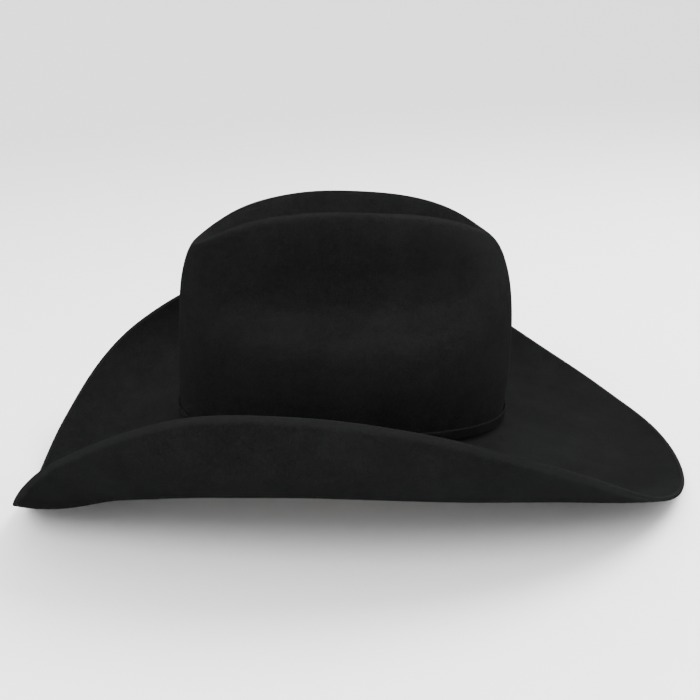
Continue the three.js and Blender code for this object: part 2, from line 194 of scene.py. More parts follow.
def along(section, step):
    """Smooth cubic through a section's points, level at the last one; step counts the points from 0."""
    points = np.array(section, float)
    last = len(points) - 1
    slopes = np.empty_like(points)
    slopes[1:-1] = (points[2:] - points[:-2]) / 2
    slopes[0], slopes[-1] = points[1] - points[0], (points[-1][0] - points[-2][0], 0)
    i = np.clip(np.floor(step).astype(int), 0, last - 1)
    s = (step - i)[..., None]
    return ((2 * s ** 3 - 3 * s ** 2 + 1) * points[i] + (s ** 3 - 2 * s ** 2 + s) * slopes[i]
            + (3 * s ** 2 - 2 * s ** 3) * points[i + 1] + (s ** 3 - s ** 2) * slopes[i + 1])


def crown(phi, step, sections=FELT_SECTIONS):
    """Crown: every path runs from the head oval to the crease's spine. Its section is the side's, blended
    into the front's or the back's towards the ends. There the side's section also comes later, so that the
    dent's lower edge curves up."""
    phi, step = np.broadcast_arrays(np.asarray(phi, float), np.asarray(step, float))
    c = np.cos(phi)
    weight = smooth(np.abs(np.sin(phi)) / DENT_SPREAD) / smooth(1 / DENT_SPREAD)
    late = (DENT_RISE * (1 - weight) * smooth((step - DENT_FROM) / DENT_FADE)
            * smooth((DENT_TO - step) / DENT_FADE))
    side, front, back = (along(section, at) for section, at in zip(sections, (step - late, step, step)))
    weight = weight[..., None]
    end = np.where((c > 0)[..., None], front, back)
    share, height = np.moveaxis(weight * side + (1 - weight) * end, -1, 0)
    spine = HEAD_CENTRE + ((CREASE_FRONT + CREASE_BACK) / 2 + (CREASE_FRONT - CREASE_BACK) / 2 * c) * c
    x, y, _, _ = oval(phi)
    height = height + three_way(BREAK_HEIGHT, phi) * (1 - smooth(step / 2))
    return np.stack([spine + (x - spine) * share, y * share, height], -1)


def felt_top(phi, walk):
    """Felt's upper face: walk 0 to 13 comes down the crown, 13 to 14 goes out along the brim, and a quadratic
    fillet rounds the break."""
    phi, walk = np.broadcast_arrays(np.asarray(phi, float), np.asarray(walk, float))
    s = np.clip((walk - TOP + FILLET_UP) / (FILLET_UP + FILLET_OUT), 0, 1)[..., None]
    on_crown, on_brim = crown(phi, np.full(phi.shape, FILLET_UP)), brim(phi, np.full(phi.shape, FILLET_OUT))
    fillet = on_crown * (1 - s) ** 2 + brim(phi, 0.0 * phi) * 2 * s * (1 - s) + on_brim * s * s
    high, low = (walk < TOP - FILLET_UP)[..., None], (walk > TOP + FILLET_OUT)[..., None]
    return np.where(high, crown(phi, np.clip(TOP - walk, 0, TOP)),
                    np.where(low, brim(phi, np.clip(walk - TOP, 0, 1)), fillet))


def lining_top(phi, walk):
    """Lining's face towards the felt, walked from the crease's spine down."""
    return crown(phi, TOP - np.asarray(walk, float), LINING_SECTIONS)


def unit(v):
    """Vectors divided by their lengths."""
    return v / np.maximum(np.linalg.norm(v, axis=-1, keepdims=True), 1e-12)


def normal_of(surface, phi, walk, last):
    """Outward normal: the way down crossed with the way round; on the spine it leans neither way."""
    e = 1e-3
    w = np.clip(walk, 2 * e, last - e)
    down = surface(phi, w + e) - surface(phi, w - e)
    around = surface(phi + e, w) - surface(phi - e, w)
    normal = np.cross(down, around)
    normal[..., 1] = np.where(walk <= 0, 0, normal[..., 1])
    return unit(normal)


def bulge(phi, height):
    """How far the crown's wall stands outside the head oval, low on the crown."""
    x, y, nx, ny = oval(phi)
    wall = crown(phi, height / SIDE_SECTION[1][1])
    return np.maximum(0, (wall[..., 0] - x) * nx + (wall[..., 1] - y) * ny)


def band_point(phi, inset, height):
    """Point of a band at a height above the break. Inside the hat the inset is taken from the oval, and
    outside it from the bulging wall."""
    phi, inset, height = np.broadcast_arrays(*(np.asarray(v, float) for v in (phi, inset, height)))
    x, y, nx, ny = oval(phi, np.where(inset > 0, inset, inset - bulge(phi, height)))
    return np.stack([x, y, height + three_way(BREAK_HEIGHT, phi)], -1)


def leather_face(height):
    """Inset of the leather's face towards the head at a height."""
    (low_inset, low), (high_inset, high) = SWEATBAND_FOOT, SWEATBAND_TOP
    return low_inset + LEATHER + (high_inset - low_inset) * (height - low) / (high - low)


# ------------------------------------------------------------------------------ mesh helpers

def grid_piece(name, points, material, closed=(True, True), masks=None, replaces=()):
    """Mesh of quads over a grid of points, rows by columns by 3 in the hat's millimetres. closed says whether
    the rows and the columns run round and join. masks are values per point that the materials read."""
    rows, columns = points.shape[:2]
    r = np.arange(rows if closed[0] else rows - 1)
    c = np.arange(columns if closed[1] else columns - 1)
    r, c = (a.ravel() for a in np.meshgrid(r, c, indexing="ij"))
    r1, c1 = (r + 1) % rows, (c + 1) % columns
    quads = np.stack([r * columns + c, r * columns + c1, r1 * columns + c1, r1 * columns + c], -1)
    mesh = bpy.data.meshes.new(name)
    mesh.from_pydata(seat(points.reshape(-1, 3)).tolist(), [], quads.tolist())
    for key, values in (masks or {}).items():
        layer = mesh.attributes.new(key, "FLOAT", "POINT")
        layer.data.foreach_set("value", np.broadcast_to(values, (rows, columns)).astype(np.float32).ravel())
    return piece_from_mesh(name, mesh, material, replaces)


def piece_from_mesh(name, mesh, material, replaces=(), merge=True):
    """Object at the origin that rides on the hat and shows a material. Its doubled points are merged and its
    faces turned outwards."""
    work = bmesh.new()
    work.from_mesh(mesh)
    if merge:
        bmesh.ops.remove_doubles(work, verts=work.verts, dist=MERGE)
    bmesh.ops.recalc_face_normals(work, faces=work.faces)
    work.to_mesh(mesh)
    work.free()
    mesh.shade_smooth()
    mesh.materials.append(material)
    piece = bpy.data.objects.new(name, mesh)
    bpy.context.collection.objects.link(piece)
    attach(piece, "root")
    if replaces:
        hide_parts(*replaces)
    return piece


def tube(path, radius, sides=8, closed=True):
    """Points of a round tube along a path: at each point a circle in the plane across the path."""
    ahead = np.roll(path, -1, 0) - np.roll(path, 1, 0) if closed else np.gradient(path, axis=0)
    ahead = unit(ahead)
    side = unit(np.cross(ahead, np.broadcast_to((0.0, 0.0, 1.0), ahead.shape)))
    up = np.cross(side, ahead)
    turn = np.linspace(0, 2 * math.pi, sides, endpoint=False)[None, :, None]
    radius = np.broadcast_to(radius, len(path))[:, None, None]
    return path[:, None] + radius * (np.cos(turn) * side[:, None] + np.sin(turn) * up[:, None])


def stitch_row(name, starts, ends, lift, radius, material):
    """Row of stitches: each is a small tube from its start to its end that rises along lift in the middle and
    sinks at both ends, as a half sine."""
    along_it = np.linspace(0, 1, 7)
    path = starts[:, None] + (ends - starts)[:, None] * along_it[None, :, None]
    wave = np.sin(math.pi * along_it)[None, :, None] * STITCH_RISE - STITCH_SINK
    path = path + lift[:, None] * wave * radius
    ahead = unit(ends - starts)[:, None]
    up = unit(lift)[:, None]
    side = np.cross(ahead, up)
    turn = np.linspace(0, 2 * math.pi, 6, endpoint=False)[None, None, :, None]
    thick = radius * np.sqrt(np.clip(np.sin(math.pi * (0.08 + 0.84 * along_it)), 0, 1))[None, :, None, None]
    rings = path[:, :, None] + thick * (np.cos(turn) * side[:, :, None] + np.sin(turn) * up[:, :, None])
    count, steps, sides = rings.shape[:3]
    s, k, j = (a.ravel() for a in np.meshgrid(
        np.arange(count), np.arange(steps - 1), np.arange(sides), indexing="ij"))
    first = s * steps * sides + k * sides
    j1 = (j + 1) % sides
    quads = np.stack([first + j, first + j1, first + sides + j1, first + sides + j], -1)
    both_ends = np.stack([np.arange(sides)[::-1], np.arange(sides) + (steps - 1) * sides])
    caps = (np.arange(count)[:, None, None] * steps * sides + both_ends[None]).reshape(-1, sides)
    mesh = bpy.data.meshes.new(name)
    mesh.from_pydata(seat(rings.reshape(-1, 3)).tolist(), [], quads.tolist() + caps.tolist())
    return piece_from_mesh(name, mesh, material, merge=False)


def ring_angles(count):
    """Angles all the way round, evenly spaced from 0."""
    return np.linspace(0, 2 * math.pi, count, endpoint=False)


def arc_lengths(points):
    """Distance walked along a row of points, 0 at the first: running sum of the steps' lengths."""
    return np.concatenate([[0], np.cumsum(np.linalg.norm(np.diff(points, axis=0), axis=-1))])


def evenly(curve, spacing, count=2000):
    """Angles at which points of a closed curve are evenly spaced, about spacing apart."""
    phi = np.linspace(0, 2 * math.pi, count)
    walked = arc_lengths(curve(phi))
    number = int(round(walked[-1] / spacing))
    return np.interp(np.arange(number) / number * walked[-1], walked, phi)


# ------------------------------------------------------------------------------ materials

class Tree:
    """Short way to add nodes to a node tree."""

    def __init__(self, tree):
        self.tree = tree

    def add(self, kind, settings=None, **inputs):
        """Node whose inputs are set or linked by name, or by number as i0, i6. Returns its outputs."""
        node = self.tree.nodes.new("ShaderNode" + kind)
        for key, value in (settings or {}).items():
            setattr(node, key, value)
        for key, value in inputs.items():
            numbered = key[0] == "i" and key[1:].isdigit()
            socket = node.inputs[int(key[1:]) if numbered else key.replace("_", " ")]
            if isinstance(value, bpy.types.NodeSocket):
                self.tree.links.new(value, socket)
            else:
                socket.default_value = value
        return node.outputs

    def math(self, operation, *values):
        """Result of one sum, product or other operation on values or sockets."""
        return self.add("Math", {"operation": operation}, **{f"i{k}": v for k, v in enumerate(values)})[0]

    def noise(self, at, scale, detail=3.0, distortion=0.0, roughness=0.5):
        """Cloudy value round 0.5; scale counts its features per metre."""
        return self.add("TexNoise", None, Vector=at, Scale=scale, Detail=detail, Distortion=distortion,
                        Roughness=roughness)[0]

    def span(self, value, low, high, to_low=0.0, to_high=1.0):
        """Maps low..high smoothly to to_low..to_high."""
        return self.add("MapRange", {"interpolation_type": "SMOOTHSTEP"}, Value=value, From_Min=low,
                        From_Max=high, To_Min=to_low, To_Max=to_high)[0]

    def mix(self, share, a, b):
        """Colour a where share is 0 and b where it is 1."""
        return self.add("Mix", {"data_type": "RGBA"}, i0=share, i6=a, i7=b)[2]

    def attribute(self, name):
        """Value per point that a mesh carries under a name."""
        return self.add("Attribute", {"attribute_name": name})[2]

    def place(self):
        """Place on the piece, in its own metres."""
        return self.add("TexCoord")[3]


def group(name, **more_inputs):
    """Empty node group with inputs Dark, Light and more_inputs (name: default), and outputs Color, Roughness
    and Height. Returns its tree and its two ends."""
    tree = bpy.data.node_groups.new(name, "ShaderNodeTree")
    for key, default in {"Dark": (0, 0, 0, 1), "Light": (1, 1, 1, 1), **more_inputs}.items():
        kind = "NodeSocketColor" if isinstance(default, tuple) else "NodeSocketFloat"
        tree.interface.new_socket(key, in_out="INPUT", socket_type=kind).default_value = default
    for key, kind in {"Color": "Color", "Roughness": "Float", "Height": "Float"}.items():
        tree.interface.new_socket(key, in_out="OUTPUT", socket_type="NodeSocket" + kind)
    return Tree(tree), tree.nodes.new("NodeGroupInput").outputs, tree.nodes.new("NodeGroupOutput").inputs


def felt_nap():
    """Short fur nap: fine curled fibres, finer speckle, and broad cloudy patches where the nap lies another
    way."""
    t, given, out = group("felt nap", Wear=0.0, Cut=0.0)
    at = t.place()
    cloud = t.noise(at, 16.0, 3.0, 0.6)
    patch = t.noise(at, 75.0, 4.0, 0.8)
    fibre = t.noise(at, 620.0, 5.0, 2.2, 0.62)
    speck = t.noise(at, 2300.0, 2.0, 1.0)
    lay = t.math("ADD", t.math("MULTIPLY", cloud, 0.16), t.math("MULTIPLY", patch, 0.14))
    lay = t.math("ADD", lay, t.math("MULTIPLY", fibre, 0.7))
    share = t.span(lay, 0.32, 0.72)
    # Painted highlight: the felt is lightened along the crown's ridge, where the light catches it.
    share = t.math("ADD", share, t.math("MULTIPLY", given["Wear"], t.span(fibre, 0.35, 0.7, 0.35, 0.9)))
    # Lighter raw fibres along cut edges, with painted highlight where the edges catch the light.
    share = t.math("ADD", share, t.math("MULTIPLY", given["Cut"], 1.1))
    t.tree.links.new(t.mix(t.math("MINIMUM", share, 2.2), given["Dark"], given["Light"]), out["Color"])
    t.tree.links.new(t.span(patch, 0.3, 0.7, 0.86, 0.97), out["Roughness"])
    height = t.math("ADD", t.math("MULTIPLY", fibre, 0.7), t.math("MULTIPLY", speck, 0.3))
    t.tree.links.new(t.math("ADD", height, t.math("MULTIPLY", patch, 0.8)), out["Height"])
    return t.tree


def leather_grain():
    """Fine pebbled grain with soft darker pores and a slow change of tone."""
    t, given, out = group("leather grain", Rub=0.0)
    at = t.place()
    cells = t.add("TexVoronoi", {"feature": "DISTANCE_TO_EDGE"}, Vector=at, Scale=1100.0)[0]
    pores = t.span(cells, 0.02, 0.28)
    tone = t.noise(at, 22.0, 4.0, 0.5)
    fine = t.noise(at, 260.0, 4.0)
    share = t.math("ADD", t.math("MULTIPLY", t.span(tone, 0.3, 0.7), 0.55), t.math("MULTIPLY", fine, 0.35))
    share = t.math("MULTIPLY", share, t.span(pores, 0.0, 1.0, 0.72, 1.0))
    share = t.math("SUBTRACT", share, t.math("MULTIPLY", given["Rub"], 0.35))
    t.tree.links.new(t.mix(t.math("MAXIMUM", share, 0.0), given["Dark"], given["Light"]), out["Color"])
    t.tree.links.new(t.span(fine, 0.3, 0.7, 0.42, 0.6), out["Roughness"])
    t.tree.links.new(t.math("ADD", pores, t.math("MULTIPLY", fine, 0.5)), out["Height"])
    return t.tree


def thread_ribs():
    """Ribs of a ribbon or the threads of satin: a wave across an attribute that counts them, broken by
    noise."""
    t, given, out = group("thread ribs", Count=0.0, Rough=0.5)
    at = t.place()
    fuzz = t.noise(at, 900.0, 3.0)
    slow = t.noise(at, 40.0, 3.0, 0.4)
    wave = t.math("SINE", t.math("MULTIPLY", given["Count"], 2 * math.pi))
    rib = t.math("ADD", t.math("MULTIPLY", wave, 0.5), 0.5)
    share = t.math("ADD", t.math("MULTIPLY", rib, 0.35), t.math("MULTIPLY", slow, 0.5))
    share = t.math("ADD", share, t.math("MULTIPLY", fuzz, 0.2))
    t.tree.links.new(t.mix(share, given["Dark"], given["Light"]), out["Color"])
    t.tree.links.new(t.math("ADD", given["Rough"], t.math("MULTIPLY", fuzz, 0.15)), out["Roughness"])
    t.tree.links.new(t.math("ADD", rib, t.math("MULTIPLY", fuzz, 0.3)), out["Height"])
    return t.tree


def rubbed_metal():
    """Cast silver tone: darker in patches, with fine scratches."""
    t, given, out = group("rubbed metal")
    at = t.place()
    patch = t.noise(at, 260.0, 4.0, 0.8)
    scratch = t.noise(t.add("Mapping", None, Vector=at, Scale=(500.0, 500.0, 6000.0))[0], 1.0, 3.0)
    t.tree.links.new(t.mix(t.span(patch, 0.35, 0.65), given["Dark"], given["Light"]), out["Color"])
    t.tree.links.new(t.math("ADD", t.span(patch, 0.35, 0.65, 0.4, 0.26), t.math("MULTIPLY", scratch, 0.12)),
                     out["Roughness"])
    t.tree.links.new(t.math("ADD", scratch, patch), out["Height"])
    return t.tree


def cloud_tone():
    """Plain stuff such as plastic, paper or thread: a slow change of tone and a little tooth."""
    t, given, out = group("cloud tone", Rough=0.5, Grain=1500.0)
    at = t.place()
    fine = t.add("TexNoise", None, Vector=at, Scale=given["Grain"], Detail=3.0)[0]
    slow = t.noise(at, 60.0, 3.0, 0.4)
    t.tree.links.new(t.mix(t.math("ADD", t.math("MULTIPLY", slow, 0.6), t.math("MULTIPLY", fine, 0.4)),
                           given["Dark"], given["Light"]), out["Color"])
    t.tree.links.new(t.math("ADD", given["Rough"], t.math("MULTIPLY", t.math("SUBTRACT", fine, 0.5), 0.2)),
                     out["Roughness"])
    t.tree.links.new(fine, out["Height"])
    return t.tree


def material(name, effect, inputs, bump=0.0, reach=0.0001, attributes=None, **constants):
    """Material whose colour, roughness and bump come from an effect's group. attributes feed group inputs."""
    made = bpy.data.materials.new(name)
    made.use_nodes = True
    t = Tree(made.node_tree)
    shader = made.node_tree.nodes["Principled BSDF"]
    look = made.node_tree.nodes.new("ShaderNodeGroup")
    look.node_tree = effect
    for key, value in inputs.items():
        look.inputs[key].default_value = value
    for key, (attribute, factor) in (attributes or {}).items():
        made.node_tree.links.new(t.math("MULTIPLY", t.attribute(attribute), factor), look.inputs[key])
    made.node_tree.links.new(look.outputs["Color"], shader.inputs["Base Color"])
    made.node_tree.links.new(look.outputs["Roughness"], shader.inputs["Roughness"])
    if bump:
        normal = t.add("Bump", None, Strength=bump, Distance=reach, Height=look.outputs["Height"])[0]
        made.node_tree.links.new(normal, shader.inputs["Normal"])
    for key, value in constants.items():
        shader.inputs[key.replace("_", " ")].default_value = value
    return made


nap, grain, ribs, metal, plain = felt_nap(), leather_grain(), thread_ribs(), rubbed_metal(), cloud_tone()
# The felt's colour carries painted highlight along the crown's ridge, and lighter raw fibres with painted
# highlight along the brim's raw edge.
FELT_LOOK = material(
    "black fur felt", nap, {"Dark": (0.0028, 0.0029, 0.0029, 1), "Light": (0.0078, 0.0081, 0.0081, 1)},
    bump=0.55, reach=0.00035, attributes={"Wear": ("ridge_highlight", 1.0), "Cut": ("raw_edge_and_highlight", 1.0)},
    Sheen_Weight=0.004, Sheen_Roughness=0.6, Specular_IOR_Level=0.0)
# Band felt: its raw top and bottom edges get faint lighter fibres and painted highlight.
BAND_LOOK = material(
    "band felt", nap, {"Dark": (0.0027, 0.0028, 0.0028, 1), "Light": (0.0074, 0.0077, 0.0077, 1)},
    bump=0.5, reach=0.0003, attributes={"Cut": ("raw_edge_and_highlight", 0.08)}, Sheen_Weight=0.004, Sheen_Roughness=0.6,
    Specular_IOR_Level=0.0)
LEATHER_LOOK = material(
    "brown leather", grain, {"Dark": (0.075, 0.03, 0.012, 1), "Light": (0.21, 0.098, 0.045, 1)}, bump=0.5,
    reach=0.00012, attributes={"Rub": ("rub", 1.0)}, Coat_Weight=0.12, Coat_Roughness=0.4)
RIBBON_LOOK = material(
    "black ribbed ribbon", ribs,
    {"Dark": (0.003, 0.003, 0.0032, 1), "Light": (0.012, 0.012, 0.013, 1), "Rough": 0.55},
    bump=0.6, reach=0.00025, attributes={"Count": ("ribs", 1.0)}, Sheen_Weight=0.02, Specular_IOR_Level=0.12)
SATIN_LOOK = material(
    "champagne satin", ribs, {"Dark": (0.17, 0.12, 0.065, 1), "Light": (0.4, 0.32, 0.21, 1), "Rough": 0.26},
    bump=0.2, reach=0.00006, attributes={"Count": ("ribs", 1.0)}, Sheen_Weight=0.25, Sheen_Roughness=0.3)
SILVER_LOOK = material(
    "antique silver", metal, {"Dark": (0.16, 0.155, 0.15, 1), "Light": (0.62, 0.61, 0.59, 1)},
    bump=0.25, reach=0.00004, Metallic=1.0)
REED_LOOK = material(
    "milky plastic", plain, {"Dark": (0.62, 0.62, 0.58, 1), "Light": (0.8, 0.8, 0.76, 1), "Rough": 0.3},
    bump=0.1, reach=0.00003, Subsurface_Weight=0.15, Subsurface_Scale=0.002)
TAG_LOOK = material(
    "plain cotton paper", plain, {"Dark": (0.62, 0.59, 0.52, 1), "Light": (0.82, 0.8, 0.74, 1), "Rough": 0.8},
    bump=0.4, reach=0.00006)
FILM_LOOK = material(
    "clear soft vinyl", plain,
    {"Dark": (0.86, 0.88, 0.9, 1), "Light": (0.97, 0.98, 0.98, 1), "Rough": 0.12, "Grain": 300.0},
    bump=0.15, reach=0.0001, Alpha=0.2, Specular_IOR_Level=0.6)
THREAD_LOOK = material(
    "tan thread", plain, {"Dark": (0.16, 0.1, 0.05, 1), "Light": (0.42, 0.3, 0.17, 1), "Rough": 0.6},
    bump=0.5, reach=0.00008)


# ------------------------------------------------------------------------------ felt

def unevenness(points, walk):
    """Small waves of hand-shaped felt, up to about 0.5 mm, as a sum of sines over the place. There are none
    near the break, and none where the brim's two tips rest on the floor."""
    x, y, z = np.moveaxis(points, -1, 0)
    wave = (0.26 * np.sin(x / 31 + 0.8 * np.sin(y / 44)) * np.sin(y / 27 + 1.3)
            + 0.2 * np.sin(x / 17 + z / 23 + 2.1) * np.cos(y / 21 - z / 37)
            + 0.1 * np.sin(x / 8.5 + y / 11) * np.sin(z / 9 + y / 13))
    tips = np.where(walk > TOP, smooth(np.abs(y) / 90 - 0.1), 1)
    return wave * tips * smooth(np.abs(walk - TOP) / 0.9 - 0.1) * smooth(walk / 0.8)


def near_the_cut(walk):
    """0 on a face of the felt, easing to 1 over the last bit before the brim's raw edge."""
    return smooth((walk - (TOP + CUT_FROM)) / CUT_FADE)


def felt_body():
    """Upper face: felt_top(phi, walk) with small waves. Under face: the same moved FELT against its normal.
    Between them the raw cut edge of the brim, slightly round: a half sine of EDGE_ROUND outwards. Both faces
    start on the spine, where the two halves meet."""
    phi = ring_angles(FELT_AROUND)[None]
    sides = []
    for (on_crown, on_fillet, on_brim), depth in (((92, 8, 52), 0.0), ((56, 7, 28), FELT)):
        rows = np.concatenate([np.linspace(0, TOP - FILLET_UP, on_crown, endpoint=False),
                               np.linspace(TOP - FILLET_UP, TOP + FILLET_OUT, on_fillet, endpoint=False),
                               TOP + FILLET_OUT + (1 - FILLET_OUT) * np.linspace(0, 1, on_brim)])
        walk = np.broadcast_to(rows[:, None], (len(rows), FELT_AROUND))
        points, normal = felt_top(phi, walk), normal_of(felt_top, phi, walk, TOP + 1)
        points = points + normal * (unevenness(points, walk) - depth)[..., None]
        points[0, :, 1] = 0
        sides.append((points, walk))
    (upper, walk_up), (under, walk_under) = sides
    out = unit(upper[-1] - upper[-2])
    t = np.linspace(0, 1, 7)[1:-1, None, None]
    edge = upper[-1] * (1 - t) + under[-1] * t + out * EDGE_ROUND * np.sin(math.pi * t)
    points = np.concatenate([upper, edge, under[::-1]])
    walk = np.concatenate([walk_up, np.full(edge.shape[:2], TOP + 1.0), walk_under[::-1]])
    # Across the raw edge: lighter raw fibres, with painted highlight peaking at its upper and lower lips.
    on_edge = 0.05 + 0.95 * np.broadcast_to(np.abs(2 * t[..., 0] - 1), edge.shape[:2]) ** 4
    raw_edge_and_highlight = np.concatenate([near_the_cut(walk_up), on_edge, near_the_cut(walk_under[::-1])])
    # Painted highlight along the crown's ridge, strongest towards the front and back, on the upper face only.
    ridge_highlight_mask = np.exp(-((walk - RIDGE_AT) / RIDGE_REACH) ** 2) * (0.55 + 0.45 * np.abs(np.cos(phi)))
    ridge_highlight_mask[len(walk_up):] = 0
    return grid_piece("felt_crown_and_brim", points, FELT_LOOK, closed=(False, True),
                      masks={"raw_edge_and_highlight": raw_edge_and_highlight, "ridge_highlight": ridge_highlight_mask}, replaces=("felt_body",))


# ------------------------------------------------------------------------------ band and buckle set

def bar_section(thick, tall, count=16, squareness=5.0):
    """Loop of a flat bar with round edges: a superellipse, as (out, up) from its middle."""
    a = ring_angles(count)
    return (power(np.cos(a), 2 / squareness) * thick / 2, power(np.sin(a), 2 / squareness) * tall / 2)


def round_ends(count, sharpness):
    """Size of a section along a piece with rounded ends: 1 in the middle, dropping to 0 as a superellipse."""
    return np.sqrt(np.clip(1 - np.abs(np.linspace(-1, 1, count)) ** sharpness, 0, 1))


def wall_strip(name, look, phi, stand, thick, low, high, replaces, raw_edge_and_highlight=0.0, count=20):
    """Flat bar section carried round the crown's wall. A strip that doesn't go all the way round ends in a
    smooth round nose, where its section shrinks to a point."""
    out, up = bar_section(thick, high - low, count)
    whole = abs(phi[-1] - phi[0]) > 6
    size = np.ones(len(phi)) if whole else round_ends(len(phi), 40)
    inset = -(stand + thick / 2) - out[:, None] * size
    height = (low + high) / 2 + up[:, None] * size
    # Top and bottom edges lightened by the given strength: lighter raw felt fibres and painted highlight where
    # the edges catch the light.
    raw_edges_and_highlights = raw_edge_and_highlight * np.abs(up / (high - low) * 2)[:, None] ** 12
    return grid_piece(name, band_point(phi[None], inset, height), look, closed=(True, whole),
                      masks={"raw_edge_and_highlight": raw_edges_and_highlights, "ribs": 0.0, "rub": 0.0}, replaces=replaces)


def hatband():
    """Narrow strip of the same felt round the foot of the crown."""
    return wall_strip("felt_band", BAND_LOOK, ring_angles(300), BAND_STAND, BAND_THICK,
                      BAND_FOOT, BAND_TOP, ("hatband",), raw_edge_and_highlight=1.0)


def strap_end():
    """Strap's lap: it starts behind the buckle's bar and runs under the frame, the keeper and the metal
    tip."""
    return wall_strip("band_end_through_the_buckle", BAND_LOOK,
                      np.linspace(STRAP_FROM - LAP_EARLY, STRAP_TO, 70), STRAP_STAND, STRAP_THICK - LAP_SLIM,
                      STRAP_FOOT, STRAP_TOP, ("band_end",))


def wall_frame(phi, stand, height):
    """Origin and axes on the crown's wall: along the band towards the back, up, and out."""
    x, y, nx, ny = oval(phi, -stand)
    origin = np.array([x, y, height + three_way(BREAK_HEIGHT, phi)])
    return origin, np.array([-ny, nx, 0.0]), np.array([0.0, 0.0, 1.0]), np.array([nx, ny, 0.0])


def on_frame(frame_at, points):
    """Points given as (along, up, out) from a frame's origin."""
    origin, along_band, up, out = frame_at
    return origin + points[..., :1] * along_band + points[..., 1:2] * up + points[..., 2:] * out


def buckle():
    """Frame: a flat bar section carried round a rounded rectangle. Bar in the middle, and a tongue from it
    over the frame's edge."""
    at = wall_frame(BUCKLE_AT, STRAP_STAND + 0.8, (STRAP_FOOT + STRAP_TOP) / 2)
    a = ring_angles(72)
    half_length, half_height, squareness, stand = BUCKLE_SHAPE
    middle = np.stack([power(np.cos(a), 2 / squareness) * half_length,
                       power(np.sin(a), 2 / squareness) * half_height, np.full(len(a), stand)], -1)
    out = unit(np.stack([np.cos(a), np.sin(a), 0 * a], -1))
    across, tall = bar_section(1.7, 1.5, 12, 3.0)
    ring = (middle[:, None] + across[None, :, None] * out[:, None]
            + tall[None, :, None] * np.array([0, 0, 1.0]))
    grid_piece("buckle_frame", on_frame(at, ring), SILVER_LOOK, replaces=("buckle",))
    for name, start, end, radius in (("buckle_bar", (0, -3.9, 0.7), (0, 3.9, 0.7), 0.55),
                                     ("buckle_tongue", (0.1, 0, 1.3), (-5.2, 0, 1.75), 0.5)):
        s = np.linspace(0, 1, 24)[:, None]
        path = np.array(start) * (1 - s) + np.array(end) * s
        size = radius * np.sqrt(np.clip(1 - np.abs(2 * s[:, 0] - 1) ** 24, 0, 1))
        grid_piece(name, on_frame(at, tube(path, size, 10, closed=False)), SILVER_LOOK,
                   closed=(False, True))


def folded_metal(name, start, end, low, high, wall, replaces):
    """Sheet metal bent over the strap's two edges: a C-shaped section carried round the wall, with soft
    ends."""
    front, back = STRAP_STAND + STRAP_THICK + 0.3, STRAP_STAND - 0.2

    def c_line(d):
        """Half a rounded box, d outside its inner face."""
        half, reach = (high - low) / 2 - wall + d, front - back + d
        a = np.linspace(-1, 1, 40) * math.pi / 2
        return np.stack([back + reach * power(np.cos(a), 2 / FOLD_SQUARENESS),
                         (low + high) / 2 + half * power(np.sin(a), 2 / FOLD_SQUARENESS)], -1)

    loop = np.concatenate([c_line(wall), c_line(0.0)[::-1]])
    phi = np.linspace(start, end, 12)
    size = 1 - 0.25 * np.abs(np.linspace(-1, 1, 12)) ** 8
    middle = (c_line(wall) + c_line(0.0)) / 2
    middle = np.concatenate([middle, middle[::-1]])
    shape = middle[:, None] + (loop - middle)[:, None] * size[None, :, None]
    points = band_point(phi[None], -shape[..., 0], shape[..., 1])
    closing = band_point(phi[None], -middle[:, None, 0] + 0 * phi, middle[:, None, 1] + 0 * phi)
    points = np.concatenate([closing[:, :1], points, closing[:, -1:]], axis=1)
    return grid_piece(name, points, SILVER_LOOK, closed=(True, False), replaces=replaces)


# ------------------------------------------------------------------------------ sweatband, reed and tape

def sweatband():
    """Leather strip inside the crown: a flat bar section leaning in a little, with a soft top edge, darker
    where the forehead rubs."""
    count = 48
    phi = ring_angles(300)
    (foot_inset, foot), (top_inset, top) = SWEATBAND_FOOT, SWEATBAND_TOP
    out, up = bar_section(LEATHER, top - foot, count, 9.0)
    share = up / (top - foot) + 0.5
    inset = ((foot_inset + LEATHER / 2) + (top_inset - foot_inset) * share - out
             - 0.35 * np.sin(math.pi * share))
    points = band_point(phi[None], inset[:, None], (foot + (top - foot) * share)[:, None])
    waves = 0.16 * np.sin(phi * 9 + 1.0) * np.sin(phi * 4) * smooth(share * 1.5 - 0.3)[:, None]
    x, y, nx, ny = oval(phi)
    points = points + waves[..., None] * np.stack([nx, ny, 0 * nx], -1)
    rub = 0.9 * np.exp(-((share - 0.1) / 0.18) ** 2)[:, None] * (0.6 + 0.4 * np.cos(phi))
    grid_piece("leather_sweatband", points, LEATHER_LOOK, masks={"rub": rub},
               replaces=("sweatband",))
    starts_at = evenly(lambda a: band_point(a, 5.4, 4.0), SWEATBAND_STITCH)
    step = starts_at[1] - starts_at[0]
    inner = leather_face(3.6) + 0.02
    starts, ends = (band_point(starts_at + shift * step, inner, h) for shift, h in ((0.12, 3.3), (0.82, 3.9)))
    _, _, nx, ny = oval(starts_at)
    stitch_row("sweatband_stitches", starts, ends, -np.stack([nx, ny, 0 * nx], -1), 0.26, THREAD_LOOK)


def reed():
    """Thin plastic rod in the sweatband's lower edge: a circle carried round the head oval."""
    inset, height, radius = REED
    phi = ring_angles(280)
    a = ring_angles(12)[:, None]
    slim = 0.92 * radius
    points = band_point(phi[None], inset + slim * np.cos(a), height + slim * np.sin(a))
    grid_piece("sweatband_reed", points, REED_LOOK, replaces=("reed",))


